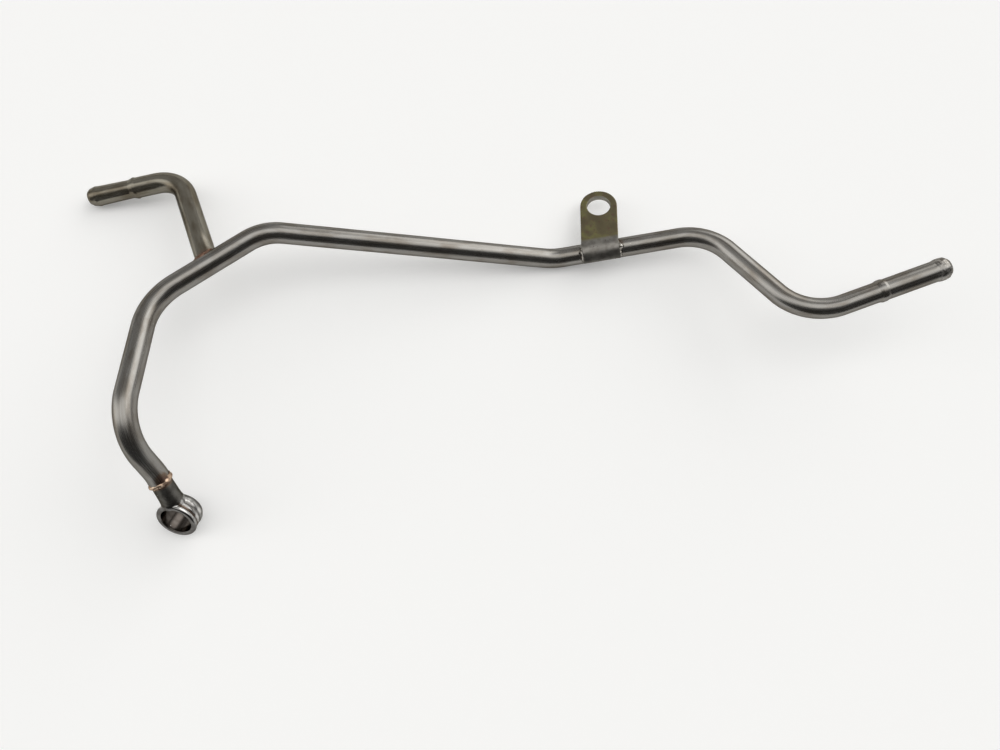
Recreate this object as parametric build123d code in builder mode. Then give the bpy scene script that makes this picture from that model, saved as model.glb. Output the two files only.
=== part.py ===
# Turbo coolant pipe: a bent steel tube with a banjo eye at one end and a hose spigot at the other,
# a branch tube that leaves it near the eye, and a folded bracket that holds its long side.
# It lies as it rests on a flat surface: on its eye, its shallow middle bend and the branch's tip.
# X runs along its length, Y away from the eye, Z up, in millimetres.
import os

from build123d import *

os.makedirs("parts", exist_ok=True)

# Tube stock
tube_od = 10.0
tube_wall = 1.0
tube_radius = tube_od / 2
bore_radius = tube_radius - tube_wall

# Where the straight runs of the main pipe would meet, from the eye's centre to the spigot's mouth
main_corners = [
    Vector(-148.39, -79.2, 9.64),
    Vector(-155.41, -62.62, 27.78),
    Vector(-165.75, -46.91, 47.5),
    Vector(-164.35, 14.49, 31.0),
    Vector(-115.85, 49.49, 32.5),
    Vector(25.15, 51.89, 4.5),
    Vector(102.65, 63.29, 19.0),
    Vector(140.65, 12.49, 40.5),
    Vector(206.4, 35.84, 53.15),
]
main_bend_radius = 26.0

# The branch leaves the run between the fourth and fifth corners
branch_along_run = 30.6
branch_corners = [Vector(-162.35, 84.49, 12.0), Vector(-207.1, 75.59, 4.2)]
branch_bend_radius = 16.0
branch_foot_trim = 1.2
branch_hole = 7.0

# Banjo eye, whose faces lie in front of and behind the neck's axis, and its neck
eye_facing = Vector(-0.2405, -0.7449, 0.6224)
eye_front = 5.0
eye_rear = 5.4
eye_bore = 14.0
eye_mouth = 15.6
collar_radius = 9.4
collar_width = 1.4
collar_edge = 0.3
valley_radius = 8.6
barrel_radius = 8.75
rear_radius = 8.0
neck_length = 20.2
neck_radius = 4.75
neck_root_radius = 5.0
neck_root_height = 9.5
neck_passage = 5.5
neck_spigot_depth = 4.0
neck_spigot_gap = 0.05

# Folded bracket
bracket_along_run = 24.4
bracket_thickness = 3.0
bracket_width = 19.0
bracket_reach = 22.8
bracket_lean = 3.4
bracket_hole = 12.0
bracket_droop = 15.0
saddle_wrap = 75.0

# Filler metal left by brazing
ring_bead_height = 0.9
ring_bead_half_width = 1.3
foot_fillet_height = 1.7
foot_fillet_spread = 1.2
saddle_fillet_height = 1.8
saddle_fillet_width = 2.0

up = Vector(0, 0, 1)


def unit(start, end):
    """Direction from one point to another."""
    return (end - start).normalized()


def along(start, end, distance):
    """Point at a distance from start on the straight line to end."""
    return start + unit(start, end) * distance


def radial_plane(origin, axis):
    """Plane for a turned profile: its X is the radius and its Y runs along the axis."""
    radius_dir = axis.cross(up).normalized()
    return Plane(origin=origin, x_dir=radius_dir, z_dir=radius_dir.cross(axis))


def tube_section():
    """Wall of the tube stock."""
    Circle(tube_radius)
    Circle(bore_radius, mode=Mode.SUBTRACT)


def formed_wall(outline, rounding):
    """Wall of a tube end formed to an outline of radius and height, with the bore following it."""
    bore_outline = [(radius - tube_wall, height) for radius, height in outline]
    with BuildLine() as wall:
        outside = FilletPolyline(*outline, radius=rounding)
        inside = FilletPolyline(*bore_outline, radius=rounding)
        Line(outside @ 0, inside @ 0)
        Line(outside @ 1, inside @ 1)
    make_face(wall.edges())


# Hose spigots, as outer radius and distance from the mouth
main_spigot_outline = [
    (4.2, 0.0),
    (5.3, 1.6),
    (5.55, 3.2),
    (5.55, 5.0),
    (5.15, 7.0),
    (5.15, 31.4),
    (5.5, 32.6),
    (5.5, 34.4),
    (5.0, 35.8),
    (5.0, 39.0),
]
branch_spigot_outline = [
    (3.4, 0.0),
    (4.3, 1.4),
    (4.95, 4.0),
    (4.75, 5.4),
    (4.5, 21.2),
    (5.3, 23.6),
    (5.0, 24.8),
    (5.0, 27.0),
]
spigot_rounding = 0.8
foot_overlap = 1.0

# Main pipe
eye_centre = main_corners[0]
joint_centre = along(eye_centre, main_corners[1], neck_length)
main_mouth = main_corners[-1]
main_spigot_foot = along(main_mouth, main_corners[-2], main_spigot_outline[-1][1] - foot_overlap)
main_spigot_axis = unit(main_mouth, main_corners[-2])

tee = along(main_corners[3], main_corners[4], branch_along_run)
tee_run_axis = unit(main_corners[3], main_corners[4])
branch_axis = unit(tee, branch_corners[0])

with BuildPart() as main_pipe:
    with BuildLine() as main_route:
        FilletPolyline(
            joint_centre, *main_corners[1:-1], main_spigot_foot, radius=main_bend_radius
        )
    with BuildSketch(main_route.line ^ 0):
        tube_section()
    sweep()
    with BuildSketch(radial_plane(main_mouth, main_spigot_axis)):
        formed_wall(main_spigot_outline, spigot_rounding)
    revolve(axis=Axis(main_mouth, main_spigot_axis))
    with BuildSketch(Plane(origin=tee, z_dir=branch_axis)):
        Circle(branch_hole / 2)
    extrude(amount=tube_od, mode=Mode.SUBTRACT)
main_pipe.part.label = "main_pipe"
export_step(main_pipe.part, "parts/main_pipe.step")

# Branch pipe, whose foot is coped to sit on the main pipe
branch_foot = along(tee, branch_corners[0], branch_foot_trim)
branch_mouth = branch_corners[1]
branch_spigot_axis = unit(branch_mouth, branch_corners[0])
branch_spigot_length = branch_spigot_outline[-1][1]
branch_spigot_foot = along(branch_mouth, branch_corners[0], branch_spigot_length - foot_overlap)

with BuildPart() as branch_pipe:
    with BuildLine() as branch_route:
        FilletPolyline(
            branch_foot, branch_corners[0], branch_spigot_foot, radius=branch_bend_radius
        )
    with BuildSketch(branch_route.line ^ 0):
        tube_section()
    sweep()
    with BuildSketch(radial_plane(branch_mouth, branch_spigot_axis)):
        formed_wall(branch_spigot_outline, spigot_rounding)
    revolve(axis=Axis(branch_mouth, branch_spigot_axis))
    with BuildSketch(Plane(origin=tee, z_dir=tee_run_axis)):
        Circle(tube_radius)
    extrude(amount=tube_od * 2, both=True, mode=Mode.SUBTRACT)
branch_pipe.part.label = "branch_pipe"
export_step(branch_pipe.part, "parts/branch_pipe.step")

# Banjo fitting: a turned eye on a drilled neck, whose spigot fills the end of the main pipe
neck_axis = unit(eye_centre, joint_centre)
eye_axis = neck_axis.cross(eye_facing.cross(neck_axis)).normalized()
collar_foot = eye_front - collar_width
valley_height = collar_foot - (collar_radius - valley_radius) / 2

with BuildPart() as banjo_fitting:
    with BuildSketch(radial_plane(eye_centre, eye_axis)):
        with BuildLine():
            Polyline(
                (0, eye_front),
                (collar_radius - collar_edge, eye_front),
                (collar_radius, eye_front - collar_edge),
                (collar_radius, collar_foot),
                (valley_radius, valley_height),
            )
            ThreePointArc(
                (valley_radius, valley_height), (barrel_radius, 0), (rear_radius, -eye_rear)
            )
            Polyline((rear_radius, -eye_rear), (0, -eye_rear), (0, eye_front))
        make_face()
    revolve(axis=Axis(eye_centre, eye_axis))
    with BuildSketch(radial_plane(eye_centre, neck_axis)):
        with BuildLine():
            neck_top = (neck_radius, neck_length)
            neck_taper_end = (neck_radius, neck_length - 2 * ring_bead_half_width)
            spigot_radius = bore_radius - neck_spigot_gap
            spigot_end = neck_length + neck_spigot_depth
            Polyline(
                (0, 0),
                (neck_root_radius, 0),
                (neck_root_radius, neck_root_height),
                neck_taper_end,
                neck_top,
                (spigot_radius, neck_length),
                (spigot_radius, spigot_end),
                (0, spigot_end),
                close=True,
            )
        make_face()
    revolve(axis=Axis(eye_centre, neck_axis))
    with BuildSketch(radial_plane(eye_centre, eye_axis)):
        with BuildLine():
            mouth_depth = (eye_mouth - eye_bore) / 2
            Polyline(
                (0, eye_front),
                (eye_mouth / 2, eye_front),
                (eye_bore / 2, eye_front - mouth_depth),
                (eye_bore / 2, -eye_rear),
                (0, -eye_rear),
                close=True,
            )
        make_face()
    revolve(axis=Axis(eye_centre, eye_axis), mode=Mode.SUBTRACT)
    with BuildSketch(Plane(origin=eye_centre, z_dir=neck_axis)):
        Circle(neck_passage / 2)
    extrude(amount=neck_length + neck_spigot_depth, mode=Mode.SUBTRACT)
banjo_fitting.part.label = "banjo_fitting"
export_step(banjo_fitting.part, "parts/banjo_fitting.step")

# Bracket: one sheet folded round the pipe, whose tab leans towards the spigot end
bracket_centre = along(main_corners[5], main_corners[6], bracket_along_run)
bracket_run_axis = unit(main_corners[5], main_corners[6])
level_across = up.cross(bracket_run_axis).normalized()
tab_dir = level_across.rotate(Axis((0, 0, 0), bracket_run_axis), -bracket_droop)
fold_plane = Plane(origin=bracket_centre, x_dir=tab_dir, z_dir=bracket_run_axis)
tab_plane = Plane(origin=bracket_centre, x_dir=fold_plane.x_dir, z_dir=fold_plane.y_dir)

with BuildPart() as bracket:
    with BuildSketch(fold_plane):
        with BuildLine() as fold_line:
            saddle_arc = CenterArc((0, 0), tube_radius, 90, saddle_wrap)
            Line(saddle_arc @ 0, (bracket_reach + bracket_width, tube_radius))
            offset(amount=bracket_thickness, side=Side.RIGHT)
        make_face()
    extrude(amount=bracket_width, both=True)
    with BuildSketch(tab_plane):
        with BuildLine():
            Line((0, -bracket_width / 2), (0, bracket_width / 2))
            CenterArc((bracket_reach, -bracket_lean), bracket_width / 2, 0, 360)
        make_hull()
        with Locations((-bracket_width / 4, 0)):
            Rectangle(bracket_width / 2, bracket_width)
    extrude(amount=tube_od, both=True, mode=Mode.INTERSECT)
    with BuildSketch(tab_plane):
        with Locations((bracket_reach, -bracket_lean)):
            Circle(bracket_hole / 2)
    extrude(amount=tube_od, mode=Mode.SUBTRACT)
bracket.part.label = "bracket"
export_step(bracket.part, "parts/bracket.step")

# Ring of filler metal round the joint of the neck and the main pipe
with BuildPart() as braze_banjo:
    with BuildSketch(radial_plane(joint_centre, neck_axis)):
        with BuildLine():
            ThreePointArc(
                (neck_radius, -ring_bead_half_width),
                (tube_radius + ring_bead_height, 0),
                (tube_radius, ring_bead_half_width),
            )
            Polyline(
                (tube_radius, ring_bead_half_width),
                (tube_radius, 0),
                (neck_radius, 0),
                (neck_radius, -ring_bead_half_width),
            )
        make_face()
    revolve(axis=Axis(joint_centre, neck_axis))
braze_banjo.part.label = "braze_banjo"
export_step(braze_banjo.part, "parts/braze_banjo.step")

# Fillet of filler metal round the branch's foot
with BuildPart() as braze_branch:
    with BuildSketch(Plane(origin=branch_foot, z_dir=branch_axis)):
        Circle(tube_radius + foot_fillet_spread)
        Circle(tube_radius, mode=Mode.SUBTRACT)
    extrude(amount=tube_od)
    with BuildSketch(Plane(origin=tee, z_dir=tee_run_axis)):
        Circle(tube_radius + foot_fillet_height)
    extrude(amount=tube_od * 2, both=True, mode=Mode.INTERSECT)
    with BuildSketch(Plane(origin=tee, z_dir=tee_run_axis)):
        Circle(tube_radius)
    extrude(amount=tube_od * 2, both=True, mode=Mode.SUBTRACT)
braze_branch.part.label = "braze_branch"
export_step(braze_branch.part, "parts/braze_branch.step")

# Runs of filler metal along the saddle's two edges
for name, side in [("braze_bracket_left", -1), ("braze_bracket_right", 1)]:
    edge_centre = bracket_centre + bracket_run_axis * (side * bracket_width / 2)
    saddle_side = Plane(
        origin=edge_centre, x_dir=fold_plane.y_dir, z_dir=fold_plane.y_dir.cross(bracket_run_axis)
    )
    with BuildPart() as saddle_fillet:
        with BuildSketch(saddle_side):
            with BuildLine():
                Polyline(
                    (tube_radius, side * saddle_fillet_width),
                    (tube_radius, 0),
                    (tube_radius + saddle_fillet_height, 0),
                    close=True,
                )
            make_face()
        revolve(axis=Axis(edge_centre, bracket_run_axis), revolution_arc=saddle_wrap)
    saddle_fillet.part.label = name
    export_step(saddle_fillet.part, f"parts/{name}.step")
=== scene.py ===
"""Dresses the turbo coolant pipe: its bent tubes, banjo eye, bracket and brazed joints, in a small studio."""

import logging
import math
from collections.abc import Sequence
from dataclasses import dataclass
from enum import Enum

import bmesh
import bpy
from mathutils import Matrix, Vector, noise

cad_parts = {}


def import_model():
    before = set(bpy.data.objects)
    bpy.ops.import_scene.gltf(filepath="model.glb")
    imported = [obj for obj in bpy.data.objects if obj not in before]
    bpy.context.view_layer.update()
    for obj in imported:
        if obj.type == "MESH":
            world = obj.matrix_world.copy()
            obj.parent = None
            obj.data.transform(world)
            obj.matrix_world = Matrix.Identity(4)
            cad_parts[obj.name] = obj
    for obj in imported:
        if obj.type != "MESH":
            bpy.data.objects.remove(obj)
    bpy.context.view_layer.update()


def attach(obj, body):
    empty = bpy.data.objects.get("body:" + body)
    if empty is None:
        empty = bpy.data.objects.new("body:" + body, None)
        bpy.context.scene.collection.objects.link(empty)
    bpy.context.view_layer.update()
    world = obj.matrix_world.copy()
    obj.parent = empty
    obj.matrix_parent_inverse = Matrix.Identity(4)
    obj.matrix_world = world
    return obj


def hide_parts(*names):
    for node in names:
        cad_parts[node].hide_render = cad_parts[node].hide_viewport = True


LOG = logging.getLogger("coolant_pipe")
MM = 0.001
MM_IN_METRE = 1000.0
BODY = "root"
STOCK = "stock"
SHARP_EDGE = math.radians(38)
UPWARD = Vector((0, 0, 1))

# How finely the meshes are divided
ROUND_STEPS = 64
TURN_STEPS = 96
CORNER_STEPS = 4
LONGEST_STEP = 2.5

# How far the remeshed bodies are eased, as each point's share of the way to its neighbours' middle
EASE_SHARE = 0.5
EASE_ROUNDS = 5

# The tint of metal seen at a grazing angle
GRAZING_TINT = (0.35, 0.34, 0.32, 1.0)

# What a torch leaves on steel, from the cooler metal to the hottest
STRAW_TINT = (0.165, 0.122, 0.092, 1.0)
BROWN_TINT = (0.105, 0.062, 0.050, 1.0)
DARK_SCALE = (0.030, 0.024, 0.026, 1.0)

Ring = list[Vector]
Profile = Sequence[tuple[float, float]]
Colour = tuple[float, float, float, float]
Socket = bpy.types.NodeSocket


def point(x: float, y: float, z: float) -> Vector:
    """A place in the frame, given in millimetres and kept in metres."""
    return Vector((x, y, z)) * MM


def across(axis: Vector) -> tuple[Vector, Vector]:
    """Two directions square to an axis and to each other.

    Args:
        axis: A unit direction.

    Returns:
        A level direction, and the one that completes the set.
    """
    level = axis.cross(UPWARD).normalized()
    return level, level.cross(axis).normalized()


def outward(first: Vector, second: Vector, angle: float) -> Vector:
    """The direction at an angle in radians from the first of two directions towards the second."""
    return first * math.cos(angle) + second * math.sin(angle)


def bell(distance: float, spread: float) -> float:
    """A smooth hump of height 1 at distance 0, gone by about twice the spread."""
    return math.exp(-((distance / spread) ** 2))


def turn_between(first: float, second: float) -> float:
    """The smallest angle in degrees between two angles in degrees."""
    return abs((first - second + 180) % 360 - 180)


# Where the straight runs of the main pipe would meet, from the eye's centre to the spigot's mouth
MAIN_CORNERS = (
    point(-148.39, -79.2, 9.64),
    point(-155.41, -62.62, 27.78),
    point(-165.75, -46.91, 47.5),
    point(-164.35, 14.49, 31.0),
    point(-115.85, 49.49, 32.5),
    point(25.15, 51.89, 4.5),
    point(102.65, 63.29, 19.0),
    point(140.65, 12.49, 40.5),
    point(206.4, 35.84, 53.15),
)
BRANCH_CORNERS = (point(-162.35, 84.49, 12.0), point(-207.1, 75.59, 4.2))
TUBE_RADIUS = 5.0 * MM
TUBE_WALL = 1.0 * MM

# The share by which the branch's upper skin is lowered at its foot, and where on its run that stops
FOOT_PINCH = 0.24
PINCH_END = 16 * MM
PINCH_FADE = 10 * MM

# Distances in millimetres that place the joints on the main pipe and the hole in the bracket's tab
NECK_LENGTH = 20.2
TEE_ALONG = 30.6
BRACKET_ALONG = 24.4
TAB_REACH = 22.8
TAB_LEAN = 3.4
TAB_MIDDLE_UP = 6.5
TAB_TILT = math.radians(-15)
EYE_TILT = Vector((-0.2405, -0.7449, 0.6224))

EYE_CENTRE = MAIN_CORNERS[0]
NECK_AXIS = (MAIN_CORNERS[1] - MAIN_CORNERS[0]).normalized()
EYE_AXIS = NECK_AXIS.cross(EYE_TILT.cross(NECK_AXIS)).normalized()
NECK_JOINT = EYE_CENTRE + NECK_AXIS * NECK_LENGTH * MM
TEE_RUN = (MAIN_CORNERS[4] - MAIN_CORNERS[3]).normalized()
TEE = MAIN_CORNERS[3] + TEE_RUN * TEE_ALONG * MM
BRANCH_AXIS = (BRANCH_CORNERS[0] - TEE).normalized()
BRACKET_RUN = (MAIN_CORNERS[6] - MAIN_CORNERS[5]).normalized()
BRACKET_CENTRE = MAIN_CORNERS[5] + BRACKET_RUN * BRACKET_ALONG * MM
TAB_DIR = Matrix.Rotation(TAB_TILT, 3, BRACKET_RUN) @ UPWARD.cross(BRACKET_RUN).normalized()
TAB_UP = BRACKET_RUN.cross(TAB_DIR)
HOLE_CENTRE = (
    BRACKET_CENTRE + TAB_DIR * TAB_REACH * MM + BRACKET_RUN * TAB_LEAN * MM + TAB_UP * TAB_MIDDLE_UP * MM
)


class Sockets:
    """Short names for the kinds of node group socket."""

    COLOR = "NodeSocketColor"
    VALUE = "NodeSocketFloat"
    VECTOR = "NodeSocketVector"


class Nodes:
    """Adds nodes to a tree and joins them, so that a finish reads as a list of its layers."""

    def __init__(self, tree: bpy.types.NodeTree) -> None:
        """Keeps the tree that the nodes go into."""
        self.tree = tree

    def add(self, kind: str, **inputs: object) -> bpy.types.Node:
        """Adds one node.

        Args:
            kind: Blender's name of the node, without the word ShaderNode.
            **inputs: Values or sockets for its inputs, with spaces in their names as underscores.
                A name that isn't an input is a setting of the node.

        Returns:
            The new node.
        """
        node = self.tree.nodes.new("ShaderNode" + kind)
        for name in [n for n in inputs if hasattr(node, n) and not isinstance(inputs[n], Socket)]:
            setattr(node, name, inputs.pop(name))
        for name, value in inputs.items():
            self.feed(node, name.replace("_", " "), value)
        return node

    def feed(self, node: bpy.types.Node, name: str, value: object) -> None:
        """Sets or joins the first enabled input of that name.

        Args:
            node: The node that has the input.
            name: The input's name, in any case.
            value: A plain value, or the socket to join.
        """
        found = next(s for s in node.inputs if s.name.lower() == name.lower() and s.enabled)
        if isinstance(value, Socket):
            self.tree.links.new(value, found)
        else:
            found.default_value = value

    def math(self, operation: str, first: object, second: object = 0.0) -> Socket:
        """One arithmetic step on values or sockets.

        Args:
            operation: Blender's name of the step.
            first: The first number or socket.
            second: The second number or socket.

        Returns:
            The socket that holds the answer.
        """
        node = self.tree.nodes.new("ShaderNodeMath")
        node.operation = operation
        self._fill(node.inputs, (first, second))
        return node.outputs[0]

    def vector(self, operation: str, first: object, second: object = None, scale: object = None) -> Socket:
        """One step of vector arithmetic.

        Args:
            operation: Blender's name of the step.
            first: The first vector or socket.
            second: The second vector or socket, where the step has one.
            scale: The factor, where the step has one.

        Returns:
            The socket that holds the answer, a number for a length or a dot product.
        """
        node = self.tree.nodes.new("ShaderNodeVectorMath")
        node.operation = operation
        self._fill(node.inputs, [v for v in (first, second) if v is not None])
        if scale is not None:
            self.feed(node, "Scale", scale)
        return node.outputs["Value" if operation in ("LENGTH", "DOT_PRODUCT", "DISTANCE") else "Vector"]

    def _fill(self, sockets: object, values: object) -> None:
        """Sets or joins inputs in their order."""
        for socket, value in zip(sockets, values):
            if isinstance(value, Socket):
                self.tree.links.new(value, socket)
            else:
                socket.default_value = value

    def ramp(self, value: object, low: float, high: float, first: float = 0.0, last: float = 1.0) -> Socket:
        """A smooth step between two values.

        Args:
            value: The socket that steps.
            low: Where the step starts.
            high: Where the step ends.
            first: What it gives below low.
            last: What it gives above high.

        Returns:
            The socket that holds the answer.
        """
        node = self.add("MapRange", interpolation_type="SMOOTHSTEP", Value=value)
        for name, number in (("From Min", low), ("From Max", high), ("To Min", first), ("To Max", last)):
            self.feed(node, name, number)
        return node.outputs["Result"]

    def mix(self, factor: object, first: object, second: object, how: str = "MIX") -> Socket:
        """A blend of two colours.

        Args:
            factor: Share of the second colour, a number or a socket.
            first: A colour or a socket.
            second: A colour or a socket.
            how: Blender's name of the blend.

        Returns:
            The socket that holds the blend.
        """
        node = self.tree.nodes.new("ShaderNodeMix")
        node.data_type = "RGBA"
        node.blend_type = how
        chosen = [
            next(s for s in node.inputs if s.identifier == name)
            for name in ("Factor_Float", "A_Color", "B_Color")
        ]
        self._fill(chosen, (factor, first, second))
        return next(s for s in node.outputs if s.identifier == "Result_Color")

    def noise(self, where: Socket, scale: float, detail: float, roughness: float = 0.55) -> Socket:
        """The value of a noise texture.

        Args:
            where: The coordinates that it follows.
            scale: Blobs per unit of the coordinates.
            detail: How many finer layers it has.
            roughness: How strong the finer layers are.

        Returns:
            The socket that holds the value, from 0 to 1.
        """
        node = self.add("TexNoise", Vector=where, Scale=scale, Detail=detail, Roughness=roughness)
        return node.outputs[0]

    def group(self, tree: bpy.types.NodeTree, **inputs: object) -> bpy.types.Node:
        """Places a node group and fills its inputs by name."""
        node = self.tree.nodes.new("ShaderNodeGroup")
        node.node_tree = tree
        for name, value in inputs.items():
            self.feed(node, name.replace("_", " "), value)
        return node


def new_group(name: str, inputs: dict[str, str], outputs: dict[str, str]) -> tuple[Nodes, object, object]:
    """Starts a shader node group.

    Args:
        name: The group's name.
        inputs: Kind of socket by input name.
        outputs: Kind of socket by output name.

    Returns:
        The group's nodes, its input node's outputs, and its output node.
    """
    tree = bpy.data.node_groups.new(name, "ShaderNodeTree")
    for title, kind in inputs.items():
        tree.interface.new_socket(title, in_out="INPUT", socket_type=kind)
    for title, kind in outputs.items():
        tree.interface.new_socket(title, in_out="OUTPUT", socket_type=kind)
    entry = tree.nodes.new("NodeGroupInput")
    leave = tree.nodes.new("NodeGroupOutput")
    return Nodes(tree), entry.outputs, leave


def drawn_grain_group() -> bpy.types.NodeTree:
    """Fine lines along the tube, as the drawing die leaves them, with broader streaks and stains."""
    nodes, given, leave = new_group(
        "drawn_grain",
        {"Stock": Sockets.VECTOR, "Seed": Sockets.VALUE},
        {"Lines": Sockets.VALUE, "Streaks": Sockets.VALUE, "Clouds": Sockets.VALUE},
    )
    shift = nodes.add("CombineXYZ", X=given["Seed"]).outputs[0]
    place = nodes.vector("ADD", given["Stock"], shift)
    lines = nodes.noise(nodes.vector("MULTIPLY", place, (0.03, 4.0, 4.0)), 1.0, 3.0, 0.6)
    streaks = nodes.noise(nodes.vector("MULTIPLY", place, (0.05, 0.7, 0.7)), 1.0, 3.0, 0.6)
    clouds = nodes.noise(nodes.vector("MULTIPLY", place, (0.07, 0.22, 0.22)), 1.0, 4.0, 0.6)
    nodes.feed(leave, "Lines", lines)
    nodes.feed(leave, "Streaks", streaks)
    nodes.feed(leave, "Clouds", clouds)
    return nodes.tree


def spot_group() -> bpy.types.NodeTree:
    """A ragged spot round one place: 1 at its middle and 0 outside its reach."""
    nodes, given, leave = new_group(
        "spot",
        {"Where": Sockets.VECTOR, "Centre": Sockets.VECTOR, "Reach": Sockets.VALUE, "Ragged": Sockets.VALUE},
        {"Mask": Sockets.VALUE},
    )
    distance = nodes.vector("DISTANCE", given["Where"], given["Centre"])
    waver = nodes.math("SUBTRACT", nodes.noise(given["Where"], 0.9, 3.0), 0.5)
    distance = nodes.math("ADD", distance, nodes.math("MULTIPLY", waver, given["Ragged"]))
    share = nodes.math("DIVIDE", distance, given["Reach"])
    nodes.feed(leave, "Mask", nodes.ramp(share, 0.35, 1.0, 1.0, 0.0))
    return nodes.tree


def heat_tint_group() -> bpy.types.NodeTree:
    """The colours that a torch leaves on steel, from bare metal through straw and brown to dark scale."""
    nodes, given, leave = new_group(
        "heat_tint",
        {"Metal": Sockets.COLOR, "Heat": Sockets.VALUE, "Where": Sockets.VECTOR},
        {"Color": Sockets.COLOR, "Scale": Sockets.VALUE},
    )
    waver = nodes.math("SUBTRACT", nodes.noise(given["Where"], 0.6, 4.0), 0.5)
    heat = nodes.math("ADD", given["Heat"], nodes.math("MULTIPLY", waver, 0.35))
    straw = nodes.mix(nodes.ramp(heat, 0.12, 0.4), given["Metal"], STRAW_TINT)
    brown = nodes.mix(nodes.ramp(heat, 0.4, 0.66), straw, BROWN_TINT)
    scale = nodes.ramp(heat, 0.66, 0.92)
    nodes.feed(leave, "Color", nodes.mix(scale, brown, DARK_SCALE))
    nodes.feed(leave, "Scale", scale)
    return nodes.tree


def speck_group() -> bpy.types.NodeTree:
    """Scattered specks of dust and bright nicks, each a fraction of a millimetre across."""
    nodes, given, leave = new_group(
        "specks",
        {"Where": Sockets.VECTOR, "Per mm": Sockets.VALUE, "Size": Sockets.VALUE, "Share": Sockets.VALUE},
        {"Mask": Sockets.VALUE},
    )
    cells = nodes.add("TexVoronoi", Vector=given["Where"], Scale=given["Per mm"])
    size = nodes.math("SUBTRACT", given["Size"], cells.outputs["Distance"])
    lot = nodes.add("SeparateColor", Color=cells.outputs["Color"]).outputs[0]
    chosen = nodes.math("LESS_THAN", lot, given["Share"])
    nodes.feed(leave, "Mask", nodes.math("MULTIPLY", nodes.ramp(size, 0.0, 0.12), chosen))
    return nodes.tree


class Looks:
    """The layers that the finishes share, each built once as a node group."""

    def __init__(self) -> None:
        """Builds the groups."""
        self.grain = drawn_grain_group()
        self.spot = spot_group()
        self.heat = heat_tint_group()
        self.specks = speck_group()


class Surface:
    """A new material with its metal shader, and the place of each point in millimetres."""

    def __init__(self, name: str, roughness: float) -> None:
        """Starts the material.

        Args:
            name: The material's name.
            roughness: Its roughness where nothing else sets it.
        """
        self.material = bpy.data.materials.new(name)
        self.material.use_nodes = True
        tree = self.material.node_tree
        tree.nodes.clear()
        self.nodes = Nodes(tree)
        self.metal = self.nodes.add("BsdfPrincipled", Metallic=1.0, Roughness=roughness)
        self.nodes.feed(self.metal, "Specular Tint", GRAZING_TINT)
        self.nodes.add("OutputMaterial", Surface=self.metal.outputs[0])
        frame_place = self.nodes.add("TexCoord").outputs["Object"]
        self.where = self.nodes.vector("SCALE", frame_place, scale=MM_IN_METRE)

    def stock(self) -> Socket:
        """The place along and round the unbent tube, in millimetres."""
        held = self.nodes.add("Attribute", attribute_name=STOCK).outputs["Vector"]
        return self.nodes.vector("SCALE", held, scale=MM_IN_METRE)

    def spot(self, looks: Looks, centre: Vector, reach: float, ragged: float) -> Socket:
        """A ragged spot round a place in the frame.

        Args:
            looks: The shared layers.
            centre: The spot's middle, in metres.
            reach: Its radius in millimetres.
            ragged: How far its edge wavers, in millimetres.

        Returns:
            The socket that holds the spot's mask.
        """
        made = self.nodes.group(
            looks.spot, Where=self.where, Centre=tuple(centre / MM), Reach=reach, Ragged=ragged
        )
        return made.outputs["Mask"]

    def specks(self, looks: Looks, per_mm: float, size: float, share: float) -> Socket:
        """Scattered specks.

        Args:
            looks: The shared layers.
            per_mm: How many cells there are to a millimetre, each with one speck at most.
            size: A speck's radius, as a share of its cell.
            share: The share of the cells that have one.

        Returns:
            The socket that holds the specks' mask.
        """
        made = self.nodes.group(looks.specks, Where=self.where, Per_mm=per_mm, Size=size, Share=share)
        return made.outputs["Mask"]

    def turned(self, centre: Vector, axis: Vector) -> tuple[Socket, Socket]:
        """How far a point is along an axis and out from it, in millimetres.

        Args:
            centre: A point on the axis, in metres.
            axis: The axis's direction.

        Returns:
            The sockets that hold the height and the radius.
        """
        offset = self.nodes.vector("SUBTRACT", self.where, tuple(centre / MM))
        height = self.nodes.vector("DOT_PRODUCT", offset, tuple(axis))
        aside = self.nodes.vector("SUBTRACT", offset, self.nodes.vector("SCALE", tuple(axis), scale=height))
        return height, self.nodes.vector("LENGTH", aside)

    def finish(self, color: Socket, roughness: Socket, relief: Socket, depth: float) -> bpy.types.Material:
        """Joins the layers to the shader.

        Args:
            color: The base colour.
            roughness: The roughness.
            relief: The height of the surface, from 0 to 1.
            depth: What a relief of 1 stands for, in metres.

        Returns:
            The finished material.
        """
        bump = self.nodes.add("Bump", Strength=1.0, Distance=depth, Height=relief)
        self.nodes.feed(self.metal, "Base Color", color)
        self.nodes.feed(self.metal, "Roughness", roughness)
        self.nodes.feed(self.metal, "Normal", bump.outputs["Normal"])
        return self.material


@dataclass(frozen=True)
class Torched:
    """A place on the tube that a brazing torch heated.

    Its reach and the waver of its ragged edge are in millimetres, and its strength is from 0 to 1.
    """

    centre: Vector
    reach: float
    ragged: float
    strength: float


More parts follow.
